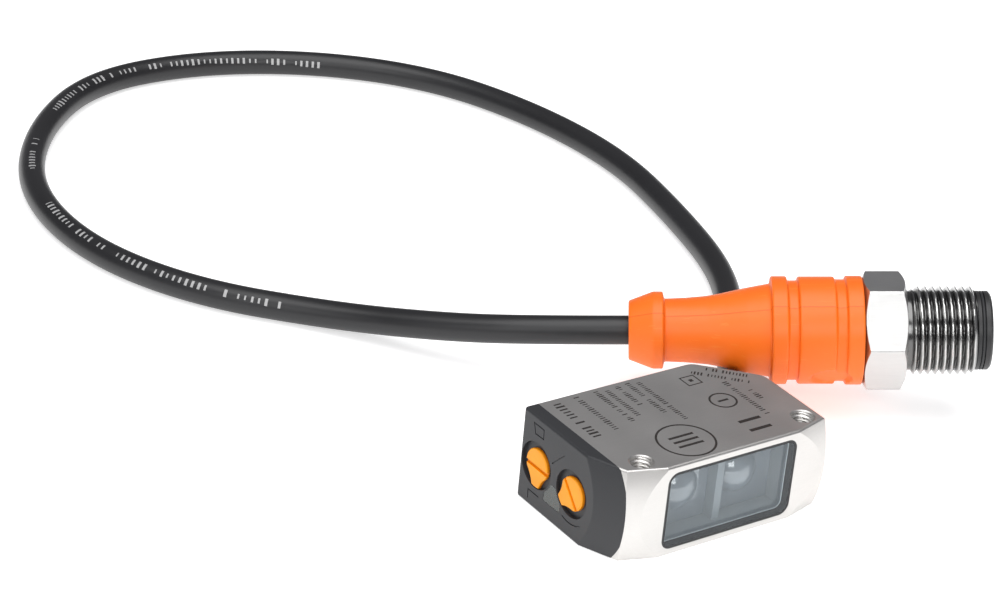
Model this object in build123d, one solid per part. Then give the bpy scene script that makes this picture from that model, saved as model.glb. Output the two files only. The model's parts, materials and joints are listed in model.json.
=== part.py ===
from build123d import *
import math
import os

# Miniature photoelectric sensor with a flying lead and an M12 plug.
# Millimetres. The sensor lies on a broad side, its optical front faces -Y, its
# control face -X and its cable leaves the cut corner at +X +Y. Origin: bottom
# centre of the sensor's box.

# ---------------------------------------------------------------- sensor box
BODY_LENGTH = 30.8
CAP_LENGTH = 2.36
WIDTH = 20.5
THICKNESS = 12.9
CORNER_CUT = 6.9
CORNER_ROUND = 2.2
EDGE_ROUND = 0.35
FACE_EDGE_ROUND = 0.5

X_FACE = -(BODY_LENGTH + CAP_LENGTH) / 2
X_JOINT = X_FACE + CAP_LENGTH
X_SPLIT = X_JOINT - 0.4
X_END = -X_FACE
Y_FRONT = -WIDTH / 2
Y_REAR = WIDTH / 2
Z_MID = THICKNESS / 2

# Crowned bevels beside the window: (start, end) of the line on the broad side,
# measured from the joint and from the front, and how far the crown swells.
BEVEL_CROWN = 1.2
BEVELS = {
    "cap side": ((0.0, 1.75), (5.33, 0.0), BEVEL_CROWN),
    "far side": ((25.29, 0.0), (30.77, 1.40), BEVEL_CROWN),
    "cap nose": ((-2.36, 7.10), (0.0, 1.75), 1.0),
}

# ---------------------------------------------------------------- M3 holes
HOLE_RADIUS = 1.5
HOLE_SPACING = 25.4
HOLE_X = X_JOINT + 2.95
HOLE_Y = Y_FRONT + 2.85
LIP = 0.15

# ---------------------------------------------------------------- housing wall
SIDE_WALL = 0.95
REAR_WALL = 1.1
END_WALL = 1.3
CUT_WALL = 2.0
CORNER_BLOCK = 5.5

# ---------------------------------------------------------------- window
WINDOW_X = (X_JOINT + 5.25, X_JOINT + 25.5)
WINDOW_Z = (0.95, 11.95)
WINDOW_ROUND = 1.5
SEAL_WIDTH = 0.4
SEAL_DEPTH = 1.15
GLASS_THICKNESS = 1.0

# ---------------------------------------------------------------- optics
CARRIER_FRONT = Y_FRONT + 1.15
LENS_SEAT = Y_FRONT + 3.9
LENS_FLANGE = 1.0
CARRIER_BACK = Y_FRONT + 10.2
CARRIER_WALL = 0.55
DIVIDER_X = (X_JOINT + 14.8, X_JOINT + 15.9)
LENS_X = {"emitter": X_JOINT + 10.3, "receiver": X_JOINT + 19.6}
LENS_RADIUS = 2.9
LENS_RISE = 1.5
TUNNEL = (5.0, 7.0)

# ---------------------------------------------------------------- boards
BOARD = 0.8
MAIN_BOARD_Y = Y_FRONT + 11.9
MAIN_BOARD_X = (X_JOINT + 6.0, X_JOINT + 26.2)
BOARD_Z = (1.35, 11.55)
CONTROL_BOARD_X = X_JOINT + 3.62
CONTROL_BOARD_Y = (Y_FRONT + 6.9, Y_FRONT + 18.6)

# ---------------------------------------------------------------- knobs
KNOB_Z = 6.2
KNOB_Y = {"mode": Y_FRONT + 16.85, "range": Y_FRONT + 9.2}
POINTER_ANGLE = {"mode": -90.0, "range": -42.0}
POCKET_RADIUS = 3.2
POCKET_DEPTH = 0.55
HEAD_RADIUS = 2.25
POINTER_REACH = 3.05
POINTER_TIP = 0.75
HEAD_THICKNESS = 0.5
HEAD_SINK = 0.02
STEM_RADIUS = 1.5
RUNNING = 0.05
STEM_END = X_JOINT + 1.30
RING_X = X_JOINT - 0.85
RING_SECTION = 0.3
SLOT_WIDTH = 0.55
SLOT_DEPTH = 0.3

# Fine strokes sunk in the control face: (across, up) from the front and the bottom.
STROKE_WIDTH = 0.16
STROKE_DEPTH = 0.12
ARC_RADIUS = 4.1
ARC_ANGLES = (-70, -81, -92, -103, -114, -125)
STROKES = {
    "box": [(18.05, 11.80), (15.95, 11.80), (15.85, 10.50), (17.60, 10.45), (18.05, 11.80)],
    "bracket": [(15.83, 2.15), (18.07, 2.15), (17.99, 0.95)],
    "diagonal": [(13.60, 8.26), (11.33, 10.50)],
}

# ---------------------------------------------------------------- cable exit
CUT_CENTRE = Vector(X_END - CORNER_CUT / 2, Y_REAR - CORNER_CUT / 2, Z_MID)
OUT = Vector(1, 1, 0).normalized()
GLAND_FLANGE_RADIUS = 4.1
GLAND_FLANGE = 1.5
GLAND_RADIUS = 3.0
GLAND_DEPTH = 2.6
CORE_BORE = 1.4
BOOT_END = 5.6
CABLE_RADIUS = 2.0
WIRE_RADIUS = 0.5
WIRE_RING = 0.73

# ---------------------------------------------------------------- plug
PLUG_START = Vector(12.684, 27.374, 8.7)
PLUG_AXIS = Vector(0.80745, -0.58189, 0.09712).normalized()
PLUG_UP = (Vector(0, 0, 1) - PLUG_AXIS * PLUG_AXIS.Z).normalized()
NUT_START = 31.45
HEX_LENGTH = 5.7
HEX_FLATS = 14.2
HEX_TURN = -36.6
THREAD_RADIUS = 6.0
THREAD_CORE = 5.4
NUT_END = 46.6
NUT_BORE = 4.9
NOSE_END = 48.65
NOSE_RADIUS = 5.35
SHROUD_RADIUS = 4.2
SOCKET_DEPTH = 8.6
PIN_CIRCLE = 2.5
FAN_START = 14.5
CUPS_START = 20.2
PIN_RADIUS = 0.5

# The lead lies on the table from the cut corner, under the plug and back to it.
CABLE_ROUTE = [
    CUT_CENTRE + OUT * GLAND_FLANGE,
    CUT_CENTRE + OUT * 9.0,
    (23.6, 17.6, 2.0),
    (28.0, 22.7, 2.0),
    (36.0, 33.0, 2.0),
    (44.7, 46.3, 2.0),
    (50.2, 65.5, 2.0),
    (54.0, 85.5, 2.0),
    (51.5, 106.5, 2.0),
    (44.0, 125.5, 2.0),
    (29.0, 139.5, 2.0),
    (10.0, 147.0, 2.0),
    (-9.5, 146.0, 2.0),
    (-25.0, 132.5, 2.0),
    (-35.5, 114.0, 2.0),
    (-37.0, 93.0, 2.0),
    (-29.5, 74.0, 2.0),
    (-15.0, 58.6, 2.1),
    (-5.29, 43.86, 5.2),
    PLUG_START - PLUG_AXIS * 12.1,
    PLUG_START,
]


# ================================================================ helpers
def block(x, y, z):
    """A box from its (low, high) pair on each axis."""
    size = [b - a for a, b in (x, y, z)]
    centre = [(a + b) / 2 for a, b in (x, y, z)]
    return Pos(*centre) * Box(*size)


def prism(points, z0, z1):
    """A closed outline in the XY plane, raised from z0 to z1."""
    face = make_face(Polyline(*points, close=True))
    return Pos(0, 0, z0) * extrude(face, amount=z1 - z0)


def front_slab(x, z, radius, y0, y1):
    """A rounded rectangle in the XZ plane, from y0 back to y1."""
    width, height = x[1] - x[0], z[1] - z[0]
    face = RectangleRounded(width, height, radius)
    slab = extrude(face, amount=y1 - y0)
    return Pos((x[0] + x[1]) / 2, y1, (z[0] + z[1]) / 2) * Rot(90, 0, 0) * slab


def along(start, direction, length, radius, inner=0.0):
    """A rod, or a tube, from a point in a direction."""
    plane = Plane(origin=start, z_dir=direction)
    rod = extrude(plane * Circle(radius), amount=length)
    if inner:
        rod -= extrude(plane * Circle(inner), amount=length)
    return rod


def turned(profile):
    """Revolves an outline of (distance along the axis, radius) about Z."""
    face = make_face(Polyline(*[(r, 0, s) for s, r in profile], close=True))
    return revolve(face, Axis.Z)


def crown_cutter(start, end, crown):
    """What lies outside a crowned bevel: its crest line swells by crown at mid thickness."""
    a = Vector(X_JOINT + start[0], Y_FRONT + start[1], Z_MID)
    b = Vector(X_JOINT + end[0], Y_FRONT + end[1], Z_MID)
    tangent = (b - a).normalized()
    outward = Vector(tangent.Y, -tangent.X, 0)
    radius = (Z_MID**2 + crown**2) / (2 * crown)
    reach = 14.0
    crest = (a + b) * 0.5 + outward * crown
    plane = Plane(origin=crest, x_dir=tangent, z_dir=outward)
    drum = plane.location * Pos(0, 0, -radius) * Rot(0, 90, 0) * Cylinder(radius, 3 * reach)
    slab = plane.location * Pos(0, 0, reach / 2 - crown - 0.6) * Box(2 * reach, 20, reach)
    return slab - drum


def save(node, shape):
    export_step(shape, f"parts/{node}.step")


# ================================================================ shell
def outer_block():
    """The whole box, cap and housing together, with its crowned front corners."""
    outline = Polyline(
        (X_FACE, Y_FRONT),
        (X_END, Y_FRONT),
        (X_END, Y_REAR - CORNER_CUT),
        (X_END - CORNER_CUT, Y_REAR),
        (X_FACE, Y_REAR),
        close=True,
    )
    face = make_face(outline)
    cut_corners = [v for v in face.vertices() if v.X > X_END - CORNER_CUT - 0.1 and v.Y > 0]
    face = fillet(cut_corners, CORNER_ROUND)
    body = extrude(face, amount=THICKNESS)
    for start, end, crown in BEVELS.values():
        body -= crown_cutter(start, end, crown)
    face_edges = [
        e
        for e in body.edges()
        if e.center().X < X_FACE + 0.01 and abs(e.center().Z - Z_MID) < Z_MID - 0.5
    ]
    body = fillet(face_edges, FACE_EDGE_ROUND)
    rims = [e for e in body.edges() if abs(e.center().Z - Z_MID) > Z_MID - 0.01]
    return fillet(rims, EDGE_ROUND)


def shell_cavity():
    """The space inside the housing, open at the joint and at the window."""
    z = (SIDE_WALL, THICKNESS - SIDE_WALL)
    y_back = Y_REAR - REAR_WALL
    x_far = X_END - END_WALL
    cut_shift = CUT_WALL * math.sqrt(2)
    cut = X_END + Y_REAR - CORNER_CUT - cut_shift
    rear = prism(
        [
            (X_JOINT - 1, Y_FRONT + CORNER_BLOCK),
            (x_far, Y_FRONT + CORNER_BLOCK),
            (x_far, cut - x_far),
            (cut - y_back, y_back),
            (X_JOINT - 1, y_back),
        ],
        *z,
    )
    front = block(WINDOW_X, (Y_FRONT + SEAL_DEPTH, Y_FRONT + CORNER_BLOCK + 0.5), z)
    return rear + front


def housing(body):
    shell = body & block((X_SPLIT, 30), (-20, 20), (-5, 20))
    shell -= shell_cavity()
    shell -= front_slab(WINDOW_X, WINDOW_Z, WINDOW_ROUND, Y_FRONT - 1, Y_FRONT + SEAL_DEPTH + 0.01)
    for x in (HOLE_X, HOLE_X + HOLE_SPACING):
        shell -= Pos(x, HOLE_Y, Z_MID) * Cylinder(HOLE_RADIUS, THICKNESS + 2)
        for z, flip in ((THICKNESS, 0), (0, 180)):
            shell -= Pos(x, HOLE_Y, z) * Rot(flip, 0, 0) * Pos(0, 0, -LIP / 2) * Cone(
                HOLE_RADIUS, HOLE_RADIUS + LIP, LIP
            )
    shell -= along(CUT_CENTRE - OUT * 5, OUT, 10, GLAND_RADIUS)
    return shell


def teardrop(grow, angle):
    """A knob head's outline: a round back and concave flanks that run to a blunt pointer."""
    radius = HEAD_RADIUS + grow
    reach = POINTER_REACH + grow
    tip = POINTER_TIP + grow
    waist = (radius * math.cos(math.radians(62)), radius * math.sin(math.radians(62)))
    back = ThreePointArc(waist, (-radius, 0), (waist[0], -waist[1]))
    flank_mid = ((waist[0] + reach) / 2 - 0.12, (waist[1] + tip) / 2 - 0.12)
    low = ThreePointArc((waist[0], -waist[1]), (flank_mid[0], -flank_mid[1]), (reach, -tip))
    end = ThreePointArc((reach, -tip), (reach + 0.1, 0), (reach, tip))
    high = ThreePointArc((reach, tip), flank_mid, waist)
    return Rot(0, 0, angle) * make_face([back, low, end, high])


def face_plane(y, z, x):
    """A plane on the control face that looks out along -X, its x along +Y."""
    return Plane(origin=(x, y, z), x_dir=(0, 1, 0), z_dir=(1, 0, 0))


def guide_face(shrink):
    """The indicator window between the two pockets: three-sided, with hollow flanks."""
    y_mid = (KNOB_Y["mode"] + KNOB_Y["range"]) / 2
    z0 = 2.3 + shrink
    half = 1.75 - shrink
    top = 2.9 - shrink
    plane = face_plane(y_mid, z0, 0)
    face = plane * Pos(0, top / 2) * Rectangle(2 * half, top)
    for y in KNOB_Y.values():
        face -= face_plane(y, KNOB_Z, 0) * Circle(POCKET_RADIUS + 0.2 + shrink)
    return face


GUIDE_PLATE = 0.8
GUIDE_POST = (1.9, 1.1)


def end_cap(body):
    cap = body & block((-40, X_SPLIT), (-20, 20), (-5, 20))
    inner_y = (Y_FRONT + CORNER_BLOCK + 0.06, Y_REAR - REAR_WALL - 0.06)
    inner_z = (SIDE_WALL + 0.06, THICKNESS - SIDE_WALL - 0.06)
    spigot_end = X_JOINT + 2.0
    rim = 0.8
    spigot = block((X_SPLIT, spigot_end), inner_y, inner_z)
    spigot -= block(
        (X_SPLIT - 1, spigot_end + 1),
        (inner_y[0] + rim, inner_y[1] - rim),
        (inner_z[0] + rim, inner_z[1] - rim),
    )
    groove_x = (X_JOINT + 0.7, X_JOINT + 1.3)
    groove = block(groove_x, (-20, 20), (-5, 20)) - block(
        groove_x, (inner_y[0] + 0.4, inner_y[1] - 0.4), (inner_z[0] + 0.4, inner_z[1] - 0.4)
    )
    cap += spigot - groove
    for y in KNOB_Y.values():
        cap -= along((X_FACE - 1, y, KNOB_Z), (1, 0, 0), POCKET_DEPTH + 1, POCKET_RADIUS)
        cap -= along((X_FACE - 1, y, KNOB_Z), (1, 0, 0), 5, STEM_RADIUS + RUNNING)
    cap -= extrude(Pos(X_FACE - 1, 0, 0) * guide_face(0.0), amount=GUIDE_PLATE + 1.02, dir=(1, 0, 0))
    post_y, post_z = guide_post_centre()
    cap -= block(
        (X_FACE, X_JOINT + 1),
        (post_y - GUIDE_POST[0] / 2 - 0.03, post_y + GUIDE_POST[0] / 2 + 0.03),
        (post_z - GUIDE_POST[1] / 2 - 0.03, post_z + GUIDE_POST[1] / 2 + 0.03),
    )
    for cut in face_strokes():
        cap -= cut
    return cap


def face_strokes():
    """Thin grooves in the control face: one arc round the range knob and a few straight lines."""
    arc = [
        (
            KNOB_Y["range"] + ARC_RADIUS * math.cos(math.radians(a)),
            KNOB_Z + ARC_RADIUS * math.sin(math.radians(a)),
        )
        for a in ARC_ANGLES
    ]
    lines = [arc] + [[(Y_FRONT + across, up) for across, up in line] for line in STROKES.values()]
    cuts = []
    for line in lines:
        for a, b in zip(line, line[1:]):
            run = math.hypot(b[0] - a[0], b[1] - a[1])
            lean = math.degrees(math.atan2(b[1] - a[1], b[0] - a[0]))
            plane = face_plane((a[0] + b[0]) / 2, (a[1] + b[1]) / 2, X_FACE)
            cuts.append(plane * Rot(0, 0, lean) * Box(run + STROKE_WIDTH, STROKE_WIDTH, 2 * STROKE_DEPTH))
    return cuts


def cap_seal():
    x = (X_JOINT + 0.72, X_JOINT + 1.28)
    y = (Y_FRONT + CORNER_BLOCK, Y_REAR - REAR_WALL)
    z = (SIDE_WALL, THICKNESS - SIDE_WALL)
    depth = 0.44
    inside = block(
        x, (y[0] + depth, y[1] - depth), (z[0] + depth, z[1] - depth)
    )
    return block(x, (y[0] + 0.01, y[1] - 0.01), (z[0] + 0.01, z[1] - 0.01)) - inside


def guide_post_centre():
    return (KNOB_Y["mode"] + KNOB_Y["range"]) / 2, 3.15


def light_guide():
    plate = extrude(Pos(X_FACE + 0.02, 0, 0) * guide_face(0.03), amount=GUIDE_PLATE, dir=(1, 0, 0))
    y, z = guide_post_centre()
    post = block(
        (X_FACE + GUIDE_PLATE, X_JOINT + 2.5),
        (y - GUIDE_POST[0] / 2, y + GUIDE_POST[0] / 2),
        (z - GUIDE_POST[1] / 2, z + GUIDE_POST[1] / 2),
    )
    return plate + post


# ================================================================ knobs
def knob(name):
    """A pointer knob: head, screwdriver slot, stem, ring groove and driving blade."""
    y = KNOB_Y[name]
    top = X_FACE + HEAD_SINK
    plane = face_plane(y, KNOB_Z, top)
    angle = POINTER_ANGLE[name]
    head = extrude(plane * teardrop(0.0, angle), amount=HEAD_THICKNESS, dir=(1, 0, 0))
    outline = [e for e in head.edges() if abs(e.center().X - top) < 1e-3]
    head = fillet(outline, 0.18)
    slot = plane * Rot(0, 0, angle) * Pos(0.25, 0) * Box(SLOT_WIDTH, 2 * HEAD_RADIUS + 0.2, 2 * SLOT_DEPTH)
    neck = top + SLOT_DEPTH
    stem = along((neck, y, KNOB_Z), (1, 0, 0), STEM_END - neck, STEM_RADIUS)
    blade = plane * Rot(0, 0, angle) * Pos(0, 0, STEM_END - top + 0.2) * Box(0.5, 1.8, 0.9)
    return head - slot + (stem - ring_groove(y, 0.0)) + blade


def ring_groove(y, grow):
    """The groove in a knob's stem, where it passes through the cap."""
    width = 2 * RING_SECTION
    start = RING_X - width / 2
    return along((start, y, KNOB_Z), (1, 0, 0), width, STEM_RADIUS + 0.5, STEM_RADIUS - width + 0.1 - grow)


def knob_ring(name):
    centre = (RING_X, KNOB_Y[name], KNOB_Z)
    minor = RING_SECTION - 0.05
    return Plane(origin=centre, z_dir=(1, 0, 0)).location * Torus(STEM_RADIUS - minor, minor)


TRIMMER_SIZE = 3.3
TRIMMER_HEIGHT = 2.1
ROTOR_RADIUS = 1.25
ROTOR_HEIGHT = 1.2


def trimmer(name):
    """The fixed half of a trimmer potentiometer, a block with a round well."""
    y = KNOB_Y[name]
    half = TRIMMER_SIZE / 2
    x0 = CONTROL_BOARD_X - TRIMMER_HEIGHT
    body = block((x0, CONTROL_BOARD_X), (y - half, y + half), (KNOB_Z - half, KNOB_Z + half))
    well = along((x0 - 1, y, KNOB_Z), (1, 0, 0), 1 + ROTOR_HEIGHT + 0.1, ROTOR_RADIUS + RUNNING)
    legs = [
        Pos(CONTROL_BOARD_X - 0.15, y + across, KNOB_Z + side * (half + 0.25)) * Box(0.3, 0.7, 0.5)
        for side, across in ((-1, 0.0), (1, -0.9), (1, 0.9))
    ]
    return body - well + legs


def rotor(name):
    """The turning half of a trimmer, with the slot that the knob's blade drives."""
    x0 = CONTROL_BOARD_X - TRIMMER_HEIGHT
    y = KNOB_Y[name]
    disc = along((x0 + 0.05, y, KNOB_Z), (1, 0, 0), ROTOR_HEIGHT, ROTOR_RADIUS)
    plane = face_plane(y, KNOB_Z, x0 + 0.05)
    slot = plane * Rot(0, 0, POINTER_ANGLE[name]) * Box(0.54, 1.9, 0.9)
    return disc - slot


# ================================================================ optics
def window_seal():
    outer = front_slab(WINDOW_X, WINDOW_Z, WINDOW_ROUND, Y_FRONT + 0.02, Y_FRONT + SEAL_DEPTH)
    x = (WINDOW_X[0] + SEAL_WIDTH, WINDOW_X[1] - SEAL_WIDTH)
    z = (WINDOW_Z[0] + SEAL_WIDTH, WINDOW_Z[1] - SEAL_WIDTH)
    return outer - front_slab(x, z, WINDOW_ROUND - SEAL_WIDTH, Y_FRONT - 1, Y_FRONT + 3)


def front_window():
    x = (WINDOW_X[0] + SEAL_WIDTH, WINDOW_X[1] - SEAL_WIDTH)
    z = (WINDOW_Z[0] + SEAL_WIDTH, WINDOW_Z[1] - SEAL_WIDTH)
    return front_slab(x, z, WINDOW_ROUND - SEAL_WIDTH, Y_FRONT + 0.02, Y_FRONT + 0.02 + GLASS_THICKNESS)


def chambers():
    """The (x, z) openings of the two light chambers."""
    x0, x1 = WINDOW_X[0] + 0.1 + CARRIER_WALL, WINDOW_X[1] - 0.1 - CARRIER_WALL
    z = (WINDOW_Z[0] + 0.1 + CARRIER_WALL, WINDOW_Z[1] - 0.1 - CARRIER_WALL)
    return {"emitter": ((x0, DIVIDER_X[0]), z), "receiver": ((DIVIDER_X[1], x1), z)}


def optic_carrier():
    x = (WINDOW_X[0] + 0.1, WINDOW_X[1] - 0.1)
    z = (WINDOW_Z[0] + 0.1, WINDOW_Z[1] - 0.1)
    body = block(x, (CARRIER_FRONT + 0.02, CARRIER_BACK), z)
    body -= block((DIVIDER_X[0] - 1, DIVIDER_X[1] + 1), (Y_FRONT, Y_FRONT + 2.2), (z[0] + CARRIER_WALL, z[1] - CARRIER_WALL))
    for name, (cx, cz) in chambers().items():
        body -= block(cx, (Y_FRONT, LENS_SEAT + LENS_FLANGE), cz)
        body -= block(
            (LENS_X[name] - TUNNEL[0] / 2, LENS_X[name] + TUNNEL[0] / 2),
            (LENS_SEAT, CARRIER_BACK + 1),
            (Z_MID - TUNNEL[1] / 2, Z_MID + TUNNEL[1] / 2),
        )
    return body


def lens(name):
    """A moulded lens: a plate that fills its chamber, with one dome towards the window."""
    cx, cz = chambers()[name]
    gap = 0.03
    plate = block((cx[0] + gap, cx[1] - gap), (LENS_SEAT, LENS_SEAT + LENS_FLANGE), (cz[0] + gap, cz[1] - gap))
    radius = (LENS_RADIUS**2 + LENS_RISE**2) / (2 * LENS_RISE)
    ball = Pos(LENS_X[name], LENS_SEAT - LENS_RISE + radius, Z_MID) * Sphere(radius)
    dome = ball & block((-20, 20), (LENS_SEAT - 5, LENS_SEAT + 0.5), (-5, 20))
    return plate + dome


def aperture_plate():
    """A thin stop behind the receiver's tunnel, with a slot for the returned spot."""
    y = (CARRIER_BACK, CARRIER_BACK + 0.25)
    x = LENS_X["receiver"]
    plate = block((x - 3.6, x + 3.6), y, (Z_MID - 4.2, Z_MID + 4.2))
    return plate - block((x - 1.4, x + 1.4), (y[0] - 1, y[1] + 1), (Z_MID - 0.9, Z_MID + 0.9))


def on_board(x, z, size, lift=0.0):
    """A package on the main board's front side: (x width, z height, thickness)."""
    y1 = MAIN_BOARD_Y - lift
    return block((x - size[0] / 2, x + size[0] / 2), (y1 - size[2], y1), (z - size[1] / 2, z + size[1] / 2))


def behind_board(x, z, size):
    y0 = MAIN_BOARD_Y + BOARD
    return block((x - size[0] / 2, x + size[0] / 2), (y0, y0 + size[2]), (z - size[1] / 2, z + size[1] / 2))


def emitter_led():
    x = LENS_X["emitter"]
    base = on_board(x, Z_MID, (3.0, 3.0, 0.8))
    return base + Pos(x, MAIN_BOARD_Y - 0.8, Z_MID) * Rot(90, 0, 0) * Pos(0, 0, 0.3) * Cylinder(1.2, 0.6)


def board_capacitors():
    places = [(-4.5, 3.0), (-2.2, 3.0), (-4.5, 9.9), (-2.2, 9.9), (0.1, 9.9), (7.4, 10.2)]
    return Compound(children=[behind_board(x, z, (1.6, 0.8, 0.8)) for x, z in places])


def board_header():
    """The right-angle strip that joins the two boards."""
    x0 = CONTROL_BOARD_X + BOARD
    strip = block((x0, x0 + 2.6), (MAIN_BOARD_Y + BOARD, MAIN_BOARD_Y + BOARD + 1.6), (3.4, 9.5))
    pins = [
        block((x0 - BOARD, x0 + 0.3), (MAIN_BOARD_Y + BOARD + 0.6, MAIN_BOARD_Y + BOARD + 1.0), (z - 0.2, z + 0.2))
        for z in (4.2, 5.7, 7.2, 8.7)
    ]
    return strip, pins


def main_board():
    board = block(MAIN_BOARD_X, (MAIN_BOARD_Y, MAIN_BOARD_Y + BOARD), BOARD_Z)
    return board


def control_board():
    board = block((CONTROL_BOARD_X, CONTROL_BOARD_X + BOARD), CONTROL_BOARD_Y, BOARD_Z)
    return board


def status_leds():
    y, z = guide_post_centre()
    leds = [
        block((CONTROL_BOARD_X - 0.6, CONTROL_BOARD_X), (y + s * 0.5 - 0.4, y + s * 0.5 + 0.4), (z - 0.4, z + 0.4))
        for s in (-1, 1)
    ]
    return Compound(children=leds)


# ================================================================ cable exit
def cable_gland():
    """The bush in the cut corner. Its flange bears on the outside, its cores pass through it."""
    flange = along(CUT_CENTRE, OUT, GLAND_FLANGE, GLAND_FLANGE_RADIUS)
    rim = [e for e in flange.edges() if (e.center() - CUT_CENTRE).dot(OUT) > GLAND_FLANGE - 0.01]
    flange = chamfer(rim, 0.4)
    barrel = along(CUT_CENTRE - OUT * GLAND_DEPTH, OUT, GLAND_DEPTH, GLAND_RADIUS - 0.03)
    groove = along(CUT_CENTRE - OUT * 1.3, OUT, 0.6, GLAND_RADIUS + 1, GLAND_RADIUS - 0.5)
    bore = along(CUT_CENTRE - OUT * 5, OUT, 10, CORE_BORE)
    return flange + barrel - groove - bore


def gland_ring():
    plane = Plane(origin=CUT_CENTRE - OUT * 1.0, z_dir=OUT)
    return plane.location * Torus(GLAND_RADIUS - 0.25, 0.22)


def strain_relief():
    """A soft sleeve that tapers along the lead."""
    length = BOOT_END - GLAND_FLANGE
    plane = Plane(origin=CUT_CENTRE + OUT * GLAND_FLANGE, z_dir=OUT)
    sleeve = plane.location * turned([(0, CABLE_RADIUS + 0.02), (0, 3.4), (0.9, 3.4), (1.5, 3.05), (length, 2.45), (length, CABLE_RADIUS + 0.02)])
    return sleeve


def core_wires():
    """Four insulated cores from the lead's end, through the bush, to the main board."""
    wires = []
    side = Vector(-OUT.Y, OUT.X, 0)
    pads = (4.0, 5.6, 7.3, 8.9)
    board = MAIN_BOARD_Y + BOARD + WIRE_RADIUS
    for i, pad in enumerate(pads):
        lift = WIRE_RING * (1 if i > 1 else -1)
        shift = WIRE_RING * (1 if i % 2 else -1)
        start = CUT_CENTRE + OUT * (GLAND_FLANGE - 0.05) + side * shift * 0.7 + Vector(0, 0, lift * 0.7)
        turn = start - OUT * 4.6
        end = Vector(turn.X - 2.6, board, pad)
        path = FilletPolyline(start, turn, end, Vector(end.X - 1.6, board, pad), radius=0.6)
        wires.append(sweep(Plane(origin=start, z_dir=path % 0) * Circle(WIRE_RADIUS - 0.02), path=path))
    return Compound(children=wires)


def cable():
    """The jacketed lead: straight runs joined by arcs as large as the runs allow."""
    points = [Vector(*p) if isinstance(p, tuple) else p for p in CABLE_ROUTE]
    runs = [(b - a).length for a, b in zip(points, points[1:])]
    radii = []
    for i in range(1, len(points) - 1):
        turn = (points[i] - points[i - 1]).get_angle(points[i + 1] - points[i])
        radii.append(0.45 * min(runs[i - 1], runs[i]) / math.tan(math.radians(turn / 2)))
    path = FilletPolyline(*points, radius=radii)
    tube = sweep(Plane(origin=points[0], z_dir=path % 0) * Circle(CABLE_RADIUS), path=path)
    print("arc radii", [round(r, 1) for r in radii])
    print("length", round(path.length, 1), "volume", round(tube.volume, 1))
    print("section x length", round(math.pi * CABLE_RADIUS**2 * path.length, 1))
    return tube


# ================================================================ plug
PLUG_FRAME = Plane(origin=PLUG_START, x_dir=PLUG_UP, z_dir=PLUG_AXIS).location


def plug_piece(shape):
    """Moves a piece drawn along Z from the plug's cable end to its place."""
    return PLUG_FRAME * shape


def connector_grip():
    profile = [
        (0.0, 4.0), (3.3, 5.25), (4.65, 5.25), (4.85, 4.28), (7.75, 4.4), (10.65, 4.65), (12.6, 5.0),
        (15.9, 5.75), (16.1, 5.75), (19.1, 6.35), (19.2, 7.35), (21.3, 7.35), (21.4, 6.75),
        (22.75, 6.75), (22.85, 7.3), (27.7, 7.3), (27.8, 6.9), (29.15, 6.9), (29.25, 7.4),
        (NUT_START, 7.4), (NUT_START, 4.75), (CUPS_START, 4.75), (CUPS_START, 3.4), (FAN_START, 1.4), (0.0, 1.4),
    ]
    return plug_piece(turned(profile))


def ratchet_ring():
    """The toothed ring in the nut's tail that keeps it from shaking loose."""
    ring = turned([(NUT_START + 0.05, 4.95), (NUT_START + 0.05, 6.0), (NUT_START + 1.45, 6.0), (NUT_START + 1.45, 4.95)])
    for i in range(24):
        ring -= Rot(0, 0, 15 * i) * Pos(6.05, 0, NUT_START + 0.75) * Rot(0, 0, 45) * Box(0.35, 0.35, 2)
    return plug_piece(ring)


def coupling_nut():
    corner = HEX_FLATS / 2 / math.cos(math.radians(30))
    points = [
        (corner * math.cos(math.radians(HEX_TURN + 60 * k)), corner * math.sin(math.radians(HEX_TURN + 60 * k)))
        for k in range(6)
    ]
    hexagon = prism(points, NUT_START + 0.1, NUT_START + HEX_LENGTH)
    slope = 0.62
    flat = HEX_FLATS / 2 - 0.05
    trim = turned([
        (NUT_START + 0.1, 0.0), (NUT_START + 0.1, flat), (NUT_START + 0.1 + slope, corner + 0.05),
        (NUT_START + HEX_LENGTH - slope, corner + 0.05), (NUT_START + HEX_LENGTH, flat), (NUT_START + HEX_LENGTH, 0.0),
    ])
    relief_end = NUT_START + HEX_LENGTH + 0.7
    shank = turned([
        (NUT_START + HEX_LENGTH - 0.1, 0.0), (NUT_START + HEX_LENGTH - 0.1, THREAD_CORE), (relief_end, THREAD_CORE),
        (relief_end + 0.5, THREAD_RADIUS), (NUT_END - 0.6, THREAD_RADIUS), (NUT_END, THREAD_CORE), (NUT_END, 0.0),
    ])
    tail = turned([(NUT_START, 0.0), (NUT_START, 6.2), (NUT_START + 1.6, 6.2), (NUT_START + 1.6, 0.0)])
    bore = turned([(NUT_START, 0.0), (NUT_START, NUT_BORE), (NUT_END + 1, NUT_BORE), (NUT_END + 1, 0.0)])
    return plug_piece((hexagon & trim) + shank - tail - bore)


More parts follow.
